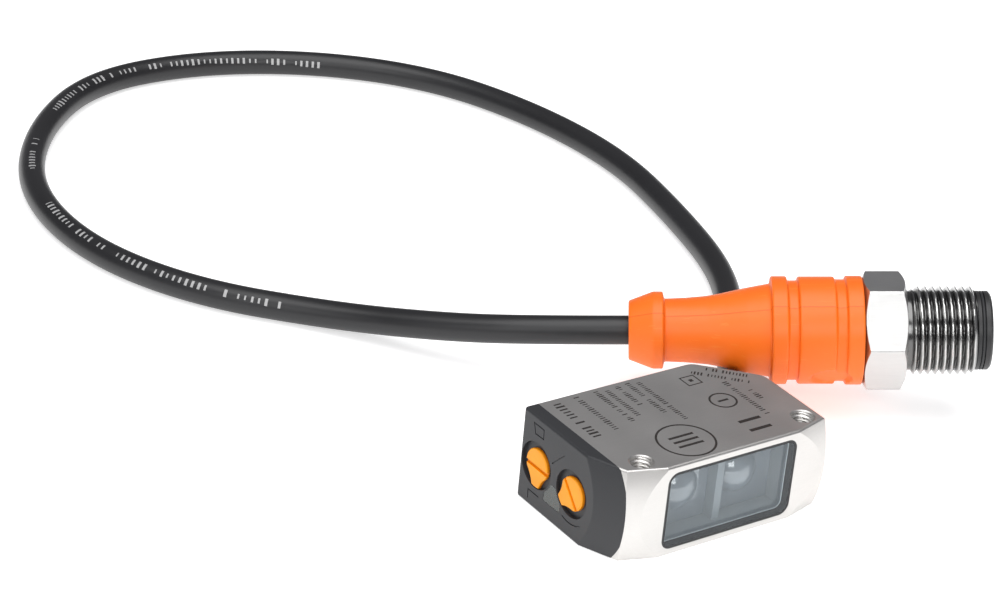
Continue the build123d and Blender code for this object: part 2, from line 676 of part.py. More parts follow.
def contact_carrier():
    """The black insert: body in the grip, sleeve through the nut, and the socket at its nose."""
    body_radius = NUT_BORE - RUNNING
    floor = NOSE_END - SOCKET_DEPTH
    groove = (NOSE_END - 1.5, NOSE_END - 0.9)
    profile = [
        (22.0, 0.0), (22.0, 4.7), (NUT_START + 0.03, 4.7), (NUT_START + 0.03, body_radius), (NUT_END + 0.1, body_radius),
        (NUT_END + 0.1, NOSE_RADIUS), (groove[0], NOSE_RADIUS), (groove[0], NOSE_RADIUS - 0.45),
        (groove[1], NOSE_RADIUS - 0.45), (groove[1], NOSE_RADIUS), (NOSE_END - 0.3, NOSE_RADIUS),
        (NOSE_END, NOSE_RADIUS - 0.3), (NOSE_END, SHROUD_RADIUS), (floor, SHROUD_RADIUS), (floor, 0.0),
    ]
    insert = turned(profile)
    key = Pos(0, SHROUD_RADIUS - 0.2, (floor + NOSE_END - 1) / 2) * Box(1.2, 0.9, NOSE_END - 1 - floor)
    insert += key
    for x, y in pin_places():
        insert -= Pos(x, y, (22 + floor) / 2) * Cylinder(PIN_RADIUS + 0.01, floor - 22 + 2)
    return plug_piece(insert)


def pin_places():
    return [
        (PIN_CIRCLE * math.cos(math.radians(45 + 90 * k)), PIN_CIRCLE * math.sin(math.radians(45 + 90 * k)))
        for k in range(4)
    ]


def contact_pins():
    pin_end = NOSE_END - 1.6
    pins = []
    for x, y in pin_places():
        shaft = Pos(x, y, 0) * turned([(20.9, 0.0), (20.9, 0.45), (22.0, 0.45), (22.0, PIN_RADIUS), (pin_end - 0.4, PIN_RADIUS), (pin_end, 0.2), (pin_end, 0.0)])
        pins.append(plug_piece(shaft))
    return Compound(children=pins)


def nose_ring():
    return plug_piece(Pos(0, 0, NOSE_END - 1.2) * Torus(NOSE_RADIUS - 0.22, 0.22))


def connector_wires():
    """The four cores inside the grip, from the lead's end out to the solder cups."""
    wires = []
    for x, y in pin_places():
        near = WIRE_RING / PIN_CIRCLE
        points = [(x * near, y * near, 0.05), (x * near, y * near, FAN_START), (x, y, 20.4)]
        path = FilletPolyline(*points, radius=3.0)
        wire = sweep(Plane(origin=points[0], z_dir=(0, 0, 1)) * Circle(WIRE_RADIUS - 0.02), path=path)
        wires.append(plug_piece(wire))
    return Compound(children=wires)


# ================================================================ write
def build():
    os.makedirs("parts", exist_ok=True)
    body = outer_block()
    save("housing", housing(body))
    save("end_cap", end_cap(body))
    save("cap_seal", cap_seal())
    save("light_guide", light_guide())
    for name in KNOB_Y:
        save(f"{name}_knob", knob(name))
        save(f"{name}_knob_ring", knob_ring(name))
        save(f"{name}_trimmer", trimmer(name))
        save(f"{name}_rotor", rotor(name))
    save("window_seal", window_seal())
    save("front_window", front_window())
    save("optic_carrier", optic_carrier())
    save("emitter_lens", lens("emitter"))
    save("receiver_lens", lens("receiver"))
    save("aperture_plate", aperture_plate())
    save("emitter_led", emitter_led())
    save("receiver_photodiode", on_board(LENS_X["receiver"], Z_MID, (4.0, 3.2, 1.1)))
    save("main_board", main_board())
    save("control_board", control_board())
    save("controller_chip", behind_board(-1.2, Z_MID, (4.0, 4.0, 0.9)))
    save("driver_chip", behind_board(4.6, Z_MID, (2.6, 3.0, 0.9)))
    save("board_capacitors", board_capacitors())
    save("status_leds", status_leds())
    save("cable_gland", cable_gland())
    save("gland_ring", gland_ring())
    save("strain_relief", strain_relief())
    save("core_wires", core_wires())
    save("cable", cable())
    save("connector_grip", connector_grip())
    save("connector_wires", connector_wires())
    save("ratchet_ring", ratchet_ring())
    save("coupling_nut", coupling_nut())
    save("contact_carrier", contact_carrier())
    save("contact_pins", contact_pins())
    save("nose_ring", nose_ring())
    strip, pins = board_header()
    save("board_header", strip)
    save("header_pins", Compound(children=pins))


build()
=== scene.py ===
# %% [markdown]
# # A small light sensor on a lead, built as a lesson
#
# The object is a steel block about as long as a thumb joint. It has a glass window in
# front, two setting knobs at one end, and a black lead that lies in one loop on the
# table and comes back to an orange plug with a screwed steel nut.
#
# The solid shapes already exist as CAD nodes. They are loaded first and never moved.
# The lesson adds what CAD leaves plain: finishes, screw threads, soft rounded
# mouldings, the lead's smooth line, the light and the camera.

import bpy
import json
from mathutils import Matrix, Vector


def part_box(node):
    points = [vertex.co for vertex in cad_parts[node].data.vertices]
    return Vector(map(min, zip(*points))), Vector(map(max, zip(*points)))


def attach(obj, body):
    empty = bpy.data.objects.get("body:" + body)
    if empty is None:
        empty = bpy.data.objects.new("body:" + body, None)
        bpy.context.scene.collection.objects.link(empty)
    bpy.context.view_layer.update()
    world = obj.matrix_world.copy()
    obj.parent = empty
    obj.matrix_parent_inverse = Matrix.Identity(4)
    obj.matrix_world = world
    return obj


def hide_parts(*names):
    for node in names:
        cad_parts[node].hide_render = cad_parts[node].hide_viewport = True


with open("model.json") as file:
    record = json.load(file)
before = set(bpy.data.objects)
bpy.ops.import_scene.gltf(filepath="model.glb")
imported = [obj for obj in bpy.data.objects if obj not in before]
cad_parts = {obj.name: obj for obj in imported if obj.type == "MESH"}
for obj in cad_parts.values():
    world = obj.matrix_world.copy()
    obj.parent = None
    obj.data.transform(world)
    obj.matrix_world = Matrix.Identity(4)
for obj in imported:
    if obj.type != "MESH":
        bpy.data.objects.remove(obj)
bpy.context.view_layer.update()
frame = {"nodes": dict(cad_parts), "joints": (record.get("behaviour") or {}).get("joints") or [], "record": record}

import json
import math

import bmesh
import bpy
import numpy as np
from mathutils import Matrix

MM = 0.001
scene = bpy.context.scene
nodes = frame["nodes"]
joints = {joint["name"]: joint for joint in frame["joints"]}

# %% [markdown]
# ## Places that the lesson comes back to
#
# Every place is read from the frame, so nothing has to be fitted by hand. The box of
# the end cap and the housing give the outer faces. The nut's hinge lies on the plug's
# axis, 36 mm from the plug's cable end, so it gives the whole plug its place.

# %% Faces of the sensor and the axis of the plug
NUT_JOINT_ALONG = 36.0  # mm along the plug, from its cable end
MARKS_INSET = 0.4  # mm from the housing's joint with the cap

cap_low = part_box("end_cap")[0]
steel_low, steel_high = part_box("housing")
FACE_X, FRONT_Y = cap_low.x, steel_low.y
MARKS_X = steel_low.x + MARKS_INSET * MM
TOP_Z = steel_high.z

nut_joint = joints["coupling_nut_spin"]
PLUG_AXIS = np.array(nut_joint["axis"], float)
PLUG_AXIS /= np.linalg.norm(PLUG_AXIS)
PLUG_START = np.array(nut_joint["pos_m"]) - NUT_JOINT_ALONG * MM * PLUG_AXIS
PLUG_UP = np.array([0.0, 0.0, 1.0]) - PLUG_AXIS * PLUG_AXIS[2]
PLUG_UP /= np.linalg.norm(PLUG_UP)
PLUG_SIDE = np.cross(PLUG_AXIS, PLUG_UP)
print("plug starts at", PLUG_START.round(4), "and points along", PLUG_AXIS.round(3))

# %% [markdown]
# ## The camera
#
# A camera is set by where it stands and by its three own directions: its right, its
# up and its back. A long lens keeps the block's edges nearly parallel. Depth of field
# stays off and nothing is shifted.

# %% Camera
camera_data = bpy.data.cameras.new("camera")
camera_data.lens = 100.0
camera_data.sensor_width = 36.0
camera_data.clip_start = 0.01
camera = bpy.data.objects.new("camera", camera_data)
scene.collection.objects.link(camera)
camera_right = (0.82821415, -0.55471969, 0.07967049)
camera_up = (0.19576852, 0.41958912, 0.88635188)
camera_back = (-0.52510571, -0.7184922, 0.4561063)
camera_place = (-0.199124, -0.232328, 0.183328)
columns = zip(camera_right, camera_up, camera_back, camera_place)
camera.matrix_world = Matrix([*columns, (0.0, 0.0, 0.0, 1.0)])
scene.camera = camera
print("camera", [round(v, 3) for v in camera_place])

# %% [markdown]
# ## Surfaces from numbers
#
# Most new pieces here are a grid of points: one parameter runs along the piece and the
# other runs round it. numpy works out all of the points at once, and the faces are the
# cells of the grid. A lathe tool would do for a plain turned part, but a grid can also
# carry a screw thread or a flat, because the radius may depend on both parameters.

# %% A mesh from a grid of points
def grid_mesh(name, points, rows_close=False, uv_along=None):
    """Cell (i, j) joins point (i, j), (i, j+1), (i+1, j+1) and (i+1, j). Columns always close.

    With rows along an axis and columns turning by the right-hand rule about it, faces
    look outwards. uv_along gives each row's distance; the other UV is the share of a turn.
    """
    rows, cols = points.shape[:2]
    index = np.arange(rows * cols).reshape(rows, cols)
    index = np.concatenate([index, index[:, :1]], axis=1)
    if rows_close:
        index = np.concatenate([index, index[:1]], axis=0)
    cells = [index[:-1, :-1], index[:-1, 1:], index[1:, 1:], index[1:, :-1]]
    loops = np.stack(cells, axis=-1).reshape(-1)
    mesh = bpy.data.meshes.new(name)
    mesh.vertices.add(rows * cols)
    mesh.vertices.foreach_set("co", points.reshape(-1).astype(np.float32))
    mesh.loops.add(len(loops))
    mesh.loops.foreach_set("vertex_index", loops.astype(np.int32))
    mesh.polygons.add(len(loops) // 4)
    mesh.polygons.foreach_set("loop_start", np.arange(0, len(loops), 4, dtype=np.int32))
    if uv_along is not None:
        along = np.repeat(np.asarray(uv_along)[:, None], cols + 1, axis=1)
        turn = np.repeat(np.linspace(0, 1, cols + 1)[None, :], rows, axis=0)
        corners = [(slice(0, -1), slice(0, -1)), (slice(0, -1), slice(1, None)),
                   (slice(1, None), slice(1, None)), (slice(1, None), slice(0, -1))]
        pairs = [np.stack([along[c], turn[c]], axis=-1) for c in corners]
        layer = mesh.uv_layers.new(name="along_and_round")
        layer.data.foreach_set("uv", np.stack(pairs, axis=2).reshape(-1).astype(np.float32))
    mesh.update(calc_edges=True)
    return mesh


MERGE_DISTANCE, NO_LENGTH = 1e-7, 1e-8  # metres


def finished(name, mesh, body, sharp=35.0):
    """Makes the piece's object, and gives it its body.

    Doubled points are merged. Shading is smooth, apart from edges sharper than the angle.
    """
    work = bmesh.new()
    work.from_mesh(mesh)
    bmesh.ops.remove_doubles(work, verts=work.verts, dist=MERGE_DISTANCE)
    bmesh.ops.dissolve_degenerate(work, edges=work.edges, dist=NO_LENGTH)
    work.to_mesh(mesh)
    work.free()
    mesh.shade_smooth()
    mesh.set_sharp_from_angle(angle=math.radians(sharp))
    piece = bpy.data.objects.new(name, mesh)
    scene.collection.objects.link(piece)
    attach(piece, body)
    print(f"{name}: {len(mesh.polygons)} faces on {body}")
    return piece

# %% [markdown]
# ## Rounded outlines and turned pieces
#
# A turned piece is an outline of (distance along the axis, radius) carried round the
# axis. Real mouldings have no knife edges, so each corner of the outline is rounded:
# the corner is replaced by a short curve that starts and ends a little way along its
# two sides. All corners are worked out together.

# %% Outlines and the lathe
SIDE_SHARE = 0.45  # the most of a side that one corner takes


def rounded(outline, radius, steps=5):
    """Rounds every corner of a closed outline.

    Corner p becomes (1-t)(1-t) P + 2t(1-t) p + t t Q, where P and Q lie on its two sides.
    """
    points = np.asarray(outline, float)
    back, ahead = np.roll(points, 1, axis=0) - points, np.roll(points, -1, axis=0) - points
    reach_back = np.minimum(radius, SIDE_SHARE * np.linalg.norm(back, axis=1))[:, None]
    reach_ahead = np.minimum(radius, SIDE_SHARE * np.linalg.norm(ahead, axis=1))[:, None]
    start = points + back / np.linalg.norm(back, axis=1)[:, None] * reach_back
    end = points + ahead / np.linalg.norm(ahead, axis=1)[:, None] * reach_ahead
    t = np.linspace(0, 1, steps)[None, :, None]
    curve = (1 - t) ** 2 * start[:, None] + 2 * t * (1 - t) * points[:, None] + t**2 * end[:, None]
    return curve.reshape(-1, 2)


def around(count):
    """Evenly spaced angles for one turn."""
    return np.arange(count) * 2 * math.pi / count


def on_plug(along, radius, angle):
    """Start + axis * along + radius * (up * cos + side * sin), in millimetres before scaling."""
    ring = PLUG_UP * np.cos(angle)[..., None] + PLUG_SIDE * np.sin(angle)[..., None]
    return PLUG_START + MM * (PLUG_AXIS * along[..., None] + ring * radius[..., None])


print("a rounded square has", len(rounded([(0, 0), (1, 0), (1, 1), (0, 1)], 0.2)), "points")

# %% [markdown]
# ## The lead
#
# The lead is 4 mm thick and as stiff as a thin power cord. It leaves the cut corner of
# the housing behind the block, drops to the table, passes under its own plug, and lies
# in one open loop before it rises into the plug. The route is the CAD tube's own list
# of points, in metres. As the control points of a NURBS line they give one
# smooth curve with no straight runs.

# %% The lead's route
ROUTE = [
    (0.01419, 0.00786, 0.00645), (0.01949, 0.01316, 0.00645), (0.0236, 0.0176, 0.0020),
    (0.0280, 0.0227, 0.0020), (0.0360, 0.0330, 0.0020), (0.0447, 0.0463, 0.0020),
    (0.0502, 0.0655, 0.0020), (0.0540, 0.0855, 0.0020), (0.0515, 0.1065, 0.0020),
    (0.0440, 0.1255, 0.0020), (0.0290, 0.1395, 0.0020), (0.0100, 0.1470, 0.0020),
    (-0.0095, 0.1460, 0.0020), (-0.0250, 0.1325, 0.0020), (-0.0355, 0.1140, 0.0020),
    (-0.0370, 0.0930, 0.0020), (-0.0295, 0.0740, 0.0020), (-0.0150, 0.0586, 0.0021),
    (-0.00529, 0.04386, 0.0052), (0.002914, 0.034415, 0.007525), (0.012684, 0.027374, 0.0087),
]
route = bpy.data.curves.new("lead_route", "CURVE")
route.dimensions = "3D"
spline = route.splines.new("NURBS")
spline.points.add(len(ROUTE) - 1)
spline.points.foreach_set("co", np.c_[np.array(ROUTE), np.ones(len(ROUTE))].reshape(-1))
spline.order_u = 3
spline.use_endpoint_u = True
spline.resolution_u = 20
route_object = bpy.data.objects.new("lead_route", route)
line_mesh = bpy.data.meshes.new_from_object(route_object)
line = np.zeros(len(line_mesh.vertices) * 3, np.float32)
line_mesh.vertices.foreach_get("co", line)
line = line.reshape(-1, 3).astype(float)
bpy.data.objects.remove(route_object)
bpy.data.curves.remove(route)
bpy.data.meshes.remove(line_mesh)
travelled = np.r_[0.0, np.cumsum(np.linalg.norm(np.diff(line, axis=0), axis=1))]
print("the lead is", round(travelled[-1], 4), "m long, in", len(line), "steps")

# %% [markdown]
# ## The lead's skin
#
# A curve with a bevel would draw the same tube, but the print on a real lead follows
# its length, so the tube is made as a mesh with its own UV map: metres along the lead,
# and share of a turn round it. At each point the ring stands across the line. One of
# its directions is level and the other is as upright as the line allows.

# %% The lead's skin
LEAD_RADIUS, LEAD_SIDES = 0.002, 32
tangent = np.gradient(line, axis=0)
tangent /= np.linalg.norm(tangent, axis=1)[:, None]
level = np.cross(tangent, (0.0, 0.0, 1.0))
level /= np.linalg.norm(level, axis=1)[:, None]
upright = np.cross(level, tangent)
angle = around(LEAD_SIDES)
cosine, sine = np.cos(angle)[None, :, None], np.sin(angle)[None, :, None]
ring = upright[:, None] * cosine + level[:, None] * sine
first, last = (np.repeat(end[:, None], LEAD_SIDES, axis=1) for end in (line[:1], line[-1:]))
skin = np.concatenate([first, line[:, None] + LEAD_RADIUS * ring, last])
skin_along = np.r_[travelled[0], travelled, travelled[-1]]
lead = finished("lead", grid_mesh("lead", skin, uv_along=skin_along), "sensor")
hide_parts("cable")

# %% [markdown]
# ## The plug's orange grip
#
# The grip is one soft moulding: a collar round the lead, a waist, a cone that swells
# towards the nut, and several bands for the fingers. Its outline is carried round the
# plug's axis. Two details depend on the angle as well, so the radius is a function of
# both parameters: a fine raised line where the two halves of the mould met, and a flat
# oval thumb mark near the bands.

# %% Grip
GRIP_OUTLINE = [
    (0.0, 2.05), (0.0, 4.0), (3.3, 5.25), (4.65, 5.25), (4.85, 4.28), (7.75, 4.4), (10.65, 4.65),
    (12.6, 5.0), (15.9, 5.75), (16.1, 5.78), (19.1, 6.35), (19.2, 7.33), (21.3, 7.33),
    (21.4, 6.75), (22.75, 6.75), (22.85, 7.28), (27.7, 7.28), (27.8, 6.9), (29.15, 6.9),
    (29.25, 7.38), (31.45, 7.38), (31.45, 4.76), (29.0, 4.76), (29.0, 2.05),
]
SEAM_ANGLES = np.radians([37.0, 217.0])
MARK_ANGLE = math.radians(127.0)
MARK_ALONG, MARK_HALF_LENGTH, MARK_HALF_WIDTH, MARK_FLAT = 27.2, 2.8, 2.1, 6.8
SEAM_HEIGHT, SEAM_WIDTH, MARK_EDGE = 0.035, 0.09, 0.12


def refined(outline, spacing):
    """Extra points on the long sides of a closed outline, at most spacing apart."""
    points = np.asarray(outline)
    ends = np.roll(points, -1, axis=0)
    counts = np.maximum(1, np.ceil(np.linalg.norm(ends - points, axis=1) / spacing)).astype(int)
    owner = np.repeat(np.arange(len(points)), counts)
    share = (np.arange(counts.sum()) - np.repeat(np.cumsum(counts) - counts, counts)) / counts[owner]
    return points[owner] + (ends[owner] - points[owner]) * share[:, None]


def smooth_step(x):
    """0 below 0, 1 above 1, and 3xx - 2xxx between."""
    x = np.clip(x, 0, 1)
    return x * x * (3 - 2 * x)


outline = refined(rounded(GRIP_OUTLINE, 0.22, 4), 0.3)
near_seams = (SEAM_ANGLES[:, None] + np.radians(np.linspace(-3, 3, 9))).reshape(-1) % (2 * math.pi)
turn = np.unique(np.concatenate([around(180), near_seams]).round(6))
along, theta = outline[:, :1] + 0 * turn, turn[None, :] + 0 * outline[:, :1]
radius = outline[:, 1:] + 0 * turn
in_the_socket = (outline[:, :1] > 28) & (outline[:, 1:] < 6)
outer = (outline[:, 1:] > 3.9) & ~in_the_socket & (outline[:, :1] < 31.35)
for seam in SEAM_ANGLES:
    off = (theta - seam + math.pi) % (2 * math.pi) - math.pi
    radius = radius + outer * SEAM_HEIGHT * np.exp(-((off * radius / SEAM_WIDTH) ** 2))
off = theta - MARK_ANGLE
flat = MARK_FLAT / np.cos(np.clip(off, -1, 1))
oval = 1 - np.hypot((along - MARK_ALONG) / MARK_HALF_LENGTH, off * radius / MARK_HALF_WIDTH)
pressed = radius - (radius - flat) * smooth_step(oval / MARK_EDGE)
radius = np.where(outer & (radius > flat), pressed, radius)
grip = finished(
    "plug_grip", grid_mesh("plug_grip", on_plug(along, radius, theta), rows_close=True), "sensor",
    sharp=40,
)
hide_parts("connector_grip")

# %% [markdown]
# ## The screwed nut
#
# The nut is cut from hexagon bar: a six-sided head with turned chamfers, and a sleeve
# with an M12 thread of 1 mm pitch. Modelling the hexagon and the thread apart would
# leave a seam between them, so one surface does both. At each angle the head's radius
# is the distance to its flat, half the width over flats divided by the cosine of the
# angle from the flat's middle, and the chamfers start where that radius meets a cone.
# Along the sleeve the radius rises and falls once per pitch, and the wave shifts by
# one pitch per turn, which is what makes it a screw.

# %% Nut
FLATS, HEAD_START, HEAD_END, THREAD_START, THREAD_END = 14.2, 31.55, 37.15, 37.8, 46.6
HEX_TURN = math.radians(-36.6)
PITCH, CREST, ROOT, BORE = 1.0, 6.0, 5.38, 4.92
STEPS_PER_PITCH = 14
RECESS, RECESS_DEPTH = 6.2, 1.5  # in the face towards the grip

turn = HEX_TURN + around(240)
from_flat = (turn - HEX_TURN) % (math.pi / 3) - math.pi / 6
corner = FLATS / 2 / math.cos(math.pi / 6)
hexagon = np.minimum(FLATS / 2 / np.cos(from_flat), corner - 0.07)
face_radius = FLATS / 2 - 0.1
chamfer = 0.6 * (hexagon - face_radius) / (corner - face_radius)
sleeve = np.arange(THREAD_START, THREAD_END, PITCH / STEPS_PER_PITCH)[:, None]
wave = np.abs((sleeve / PITCH - turn / (2 * math.pi)) % 1 - 0.5) * 2
ridge = np.clip(1.3 * wave - 0.12, 0, 1)
rise = smooth_step((sleeve - THREAD_START) / 0.7)
tip = CREST - np.clip(sleeve - (THREAD_END - 0.55), 0, None)
thread = np.minimum(ROOT + (CREST - ROOT) * ridge * rise, tip)
rows = [
    (HEAD_START, RECESS), (HEAD_START, face_radius), (HEAD_START + chamfer, hexagon),
    (HEAD_END - chamfer, hexagon), (HEAD_END, face_radius), (HEAD_END, ROOT + 0.1),
    (HEAD_END + 0.1, ROOT), *zip(sleeve[:, 0], thread), (THREAD_END, ROOT),
    (THREAD_END, BORE + 0.12), (THREAD_END - 0.12, BORE),
    (HEAD_START + RECESS_DEPTH, BORE), (HEAD_START + RECESS_DEPTH, RECESS),
]
along, radius = (
    np.array([np.broadcast_to(row[part], turn.shape) for row in rows]) for part in (0, 1)
)
nut_points = on_plug(along, radius, np.broadcast_to(turn, along.shape))
nut = finished(
    "plug_nut", grid_mesh("plug_nut", nut_points, rows_close=True), "coupling_nut",
    sharp=30,
)
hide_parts("coupling_nut")

# %% [markdown]
# ## Threads in the two fixing holes
#
# The block is fixed by M3 screws, and their threads show as bright ribs in the holes.
# Each thread is a thin sleeve that lines its hole: a screw surface with a pitch of
# half a millimetre inside, and a plain cylinder outside, where nobody looks. The
# inside runs down and the outside runs up, so that the faces look into the hole.

# %% Threads in the fixing holes
HOLE_SIDES, HOLE_PITCH, HOLE_MARGIN, HOLE_FADE = 72, 0.5, 0.25, 0.3
HOLE_INSIDE, HOLE_OUTSIDE, RIB_HEIGHT = 1.48, 1.497, 0.25


def hole_thread(name, centre):
    """Inside radius = HOLE_INSIDE - RIB_HEIGHT * wave, outside radius = the hole's wall."""
    low, high = HOLE_MARGIN, TOP_Z / MM - HOLE_MARGIN
    turn = around(HOLE_SIDES)
    down = np.arange(high, low, -HOLE_PITCH / 8)[:, None]
    wave = np.abs((down / HOLE_PITCH - turn / (2 * math.pi)) % 1 - 0.5) * 2
    fade = smooth_step((high - down) / HOLE_FADE) * smooth_step((down - low) / HOLE_FADE)
    inside = HOLE_INSIDE - RIB_HEIGHT * np.clip(1.4 * wave - 0.2, 0, 1) * fade
    ends = [np.full((1, HOLE_SIDES), end) for end in (low, high)]
    along = np.concatenate([down + 0 * turn, *ends])
    radius = np.concatenate([inside, np.full((2, HOLE_SIDES), HOLE_OUTSIDE)])
    points = np.stack([radius * np.cos(turn), radius * np.sin(turn), along], axis=-1) * MM
    points[..., 0] += centre[0]
    points[..., 1] += centre[1]
    mesh = grid_mesh(name, points, rows_close=True)
    return finished(name, mesh, "sensor", sharp=50)


mounts = {mount["name"]: mount for mount in frame["record"]["mounts"]}
hole_threads = [
    hole_thread("m3_thread_left", mounts["m3_hole_window_left"]["pos_m"]),
    hole_thread("m3_thread_right", mounts["m3_hole_window_right"]["pos_m"]),
]

# %% [markdown]
# ## The bright edge of the window glass
#
# The pale line where a cut glass pane's polished edge catches the light is a painted
# highlight here: a thin rod carried along a rounded rectangle just behind the pane.
# The rectangle is a plain one whose corners are replaced by quarter circles, all as one array.

# %% Painted highlight on the edge of the pane
def rounded_rectangle(low, high, radius, steps=9):
    """Corner centre + radius * (cos, sin), a quarter turn at each corner in order."""
    centres = np.array([(high[0] - radius, high[1] - radius), (low[0] + radius, high[1] - radius),
                        (low[0] + radius, low[1] + radius), (high[0] - radius, low[1] + radius)])
    bend = (np.arange(4) * math.pi / 2)[:, None] + np.linspace(0, math.pi / 2, steps)[None, :]
    arcs = centres[:, None] + radius * np.stack([np.cos(bend), np.sin(bend)], axis=-1)
    return arcs.reshape(-1, 2)


pane_low, pane_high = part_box("front_window")
PANE_INSET, PANE_CORNER = 0.00007, 0.0010
ROD_RADIUS, ROD_BEHIND, ROD_SIDES = 0.00005, 0.00008, 8
frame_line = rounded_rectangle(
    (pane_low.x + PANE_INSET, pane_low.z + PANE_INSET),
    (pane_high.x - PANE_INSET, pane_high.z - PANE_INSET), PANE_CORNER,
)
step_ahead = np.roll(frame_line, -1, axis=0) - np.roll(frame_line, 1, axis=0)
outwards = np.stack([step_ahead[:, 1], -step_ahead[:, 0]], axis=-1)
outwards /= np.linalg.norm(outwards, axis=1)[:, None]
bend = around(ROD_SIDES)
rod = np.zeros((len(frame_line), ROD_SIDES, 3))
sideways = ROD_RADIUS * outwards[:, None] * np.cos(bend)[None, :, None]
rod[..., [0, 2]] = frame_line[:, None] + sideways
rod[..., 1] = pane_high.y + ROD_BEHIND + ROD_RADIUS * np.sin(bend)
# A thin pale rod behind the pane's edge: a painted highlight, not a real part
pane_edge = finished(
    "pane_edge", grid_mesh("pane_edge", rod, rows_close=True), "sensor"
)

# %% [markdown]
# ## Shader maths as plain sums
#
# A finish is a small network of nodes. Written node by node it hides its idea, so a
# wire is wrapped in a class that knows how to be added, multiplied and compared. The
# sum `0.3 + 0.1 * noise` then makes its own Math nodes. Every other node comes from
# one method that takes the node's type, its settings and its sockets.

# %% Wires and finishes
class Wire:
    """One output socket, which takes part in sums.

    A comparison gives 1 where it holds and 0 elsewhere.
    """

    def __init__(self, finish, socket):
        self.finish, self.socket = finish, socket

    def maths(self, operation, *values):
        sockets = dict(enumerate(values))
        return self.finish.node("ShaderNodeMath", {"operation": operation}, sockets).out(0)

    def __add__(self, other): return self.maths("ADD", self, other)
    def __radd__(self, other): return self.maths("ADD", other, self)
    def __sub__(self, other): return self.maths("SUBTRACT", self, other)
    def __rsub__(self, other): return self.maths("SUBTRACT", other, self)
    def __mul__(self, other): return self.maths("MULTIPLY", self, other)
    def __rmul__(self, other): return self.maths("MULTIPLY", other, self)
    def __truediv__(self, other): return self.maths("DIVIDE", self, other)
    def __gt__(self, other): return self.maths("GREATER_THAN", self, other)
    def __lt__(self, other): return self.maths("LESS_THAN", self, other)
    def __pow__(self, other): return self.maths("POWER", self, other)
    def __abs__(self): return self.maths("ABSOLUTE", self)
    def floor(self): return self.maths("FLOOR", self)
    def fract(self): return self.maths("FRACT", self)
    def root(self): return self.maths("SQRT", self)
    def larger(self, other): return self.maths("MAXIMUM", self, other)
    def smaller(self, other): return self.maths("MINIMUM", self, other)


class Node:
    """A node whose outputs are taken as wires."""

    def __init__(self, finish, made):
        self.finish, self.made = finish, made

    def out(self, name=0):
        return Wire(self.finish, self.made.outputs[name])


class Finish:
    """A material under construction. Patterns read Object coordinates, in metres."""

    def __init__(self, name):
        self.material = bpy.data.materials.new(name)
        self.material.use_nodes = True
        self.tree = self.material.node_tree
        self.tree.nodes.clear()
        self.place = self.node("ShaderNodeTexCoord").out("Object")

    def node(self, kind, settings=None, sockets=None):
        made = self.tree.nodes.new(kind)
        for key, value in (settings or {}).items():
            if key == "stops":
                ramp = made.color_ramp
                ramp.elements[0].position, ramp.elements[0].color = value[0]
                ramp.elements[1].position, ramp.elements[1].color = value[-1]
                for position, colour in value[1:-1]:
                    ramp.elements.new(position).color = colour
            else:
                setattr(made, key, value)
        for key, value in (sockets or {}).items():
            if isinstance(value, Wire):
                self.tree.links.new(value.socket, made.inputs[key])
            elif isinstance(value, tuple) and len(value) == 3 and made.inputs[key].type == "RGBA":
                made.inputs[key].default_value = (*value, 1.0)
            else:
                made.inputs[key].default_value = value
        return Node(self, made)

    def axes(self, vector=None):
        split = self.node("ShaderNodeSeparateXYZ", None, {0: vector or self.place})
        return split.out(0), split.out(1), split.out(2)

    def noise(self, scale, detail=2.0, vector=None, roughness=0.5):
        sockets = {"Vector": vector or self.place, "Scale": scale}
        sockets.update({"Detail": detail, "Roughness": roughness})
        return self.node("ShaderNodeTexNoise", None, sockets).out("Fac")

    def chance(self, cell):
        """A random value from 0 to 1, the same all over one whole-numbered cell."""
        settings = {"noise_dimensions": "1D"}
        return self.node("ShaderNodeTexWhiteNoise", settings, {"W": cell}).out(0)

    def vectors(self, operation, first, second, out=0):
        settings = {"operation": operation}
        return self.node("ShaderNodeVectorMath", settings, {0: first, 1: second}).out(out)

    def combined(self, x, y, z):
        return self.node("ShaderNodeCombineXYZ", None, {0: x, 1: y, 2: z}).out(0)

    def mix(self, factor, first, second):
        made = self.node("ShaderNodeMix", {"data_type": "RGBA"}, {0: factor, 6: first, 7: second})
        return made.out(2)

    def bump(self, height, strength, distance):
        sockets = {"Height": height, "Strength": strength, "Distance": distance}
        return self.node("ShaderNodeBump", None, sockets).out(0)

    def surface(self, **sockets):
        named = {key.replace("_", " "): value for key, value in sockets.items()}
        return self.node("ShaderNodeBsdfPrincipled", None, named).out(0)

    def show(self, shader):
        self.node("ShaderNodeOutputMaterial", None, {0: shader})
        return self.material


print("the maths class knows", len([k for k in vars(Wire) if k.startswith("__")]), "signs")

# %% [markdown]
# ## Moulded plastic and rubber
#
# Moulded plastic is never one even colour: it has a fine skin grain from the mould,
# faint cloudy patches, and places where handling has polished it. One recipe serves
# every plastic and rubber piece, with its own colour, gloss and grain size.

# %% Plastics and rubbers
def moulded(name, colour, roughness, grain=0.00012, depth=0.00001, cloud=0.12):
    """Colour = colour * (1 +- cloud), roughness varies a little, bump = noise of the grain's size."""
    finish = Finish(name)
    patches = finish.noise(220.0, 3.0)
    skin = finish.noise(1.0 / grain, 3.0, roughness=0.6)
    dark = tuple(c * (1 - cloud) for c in colour)
    light = tuple(min(1.0, c * (1 + cloud)) for c in colour)
    tint = finish.mix(0.65 * patches + 0.35 * skin, dark, light)
    shader = finish.surface(
        Base_Color=tint, Roughness=roughness - 0.05 + 0.08 * patches + 0.05 * skin,
        Normal=finish.bump(skin, 0.35, depth),
    )
    return finish.show(shader)


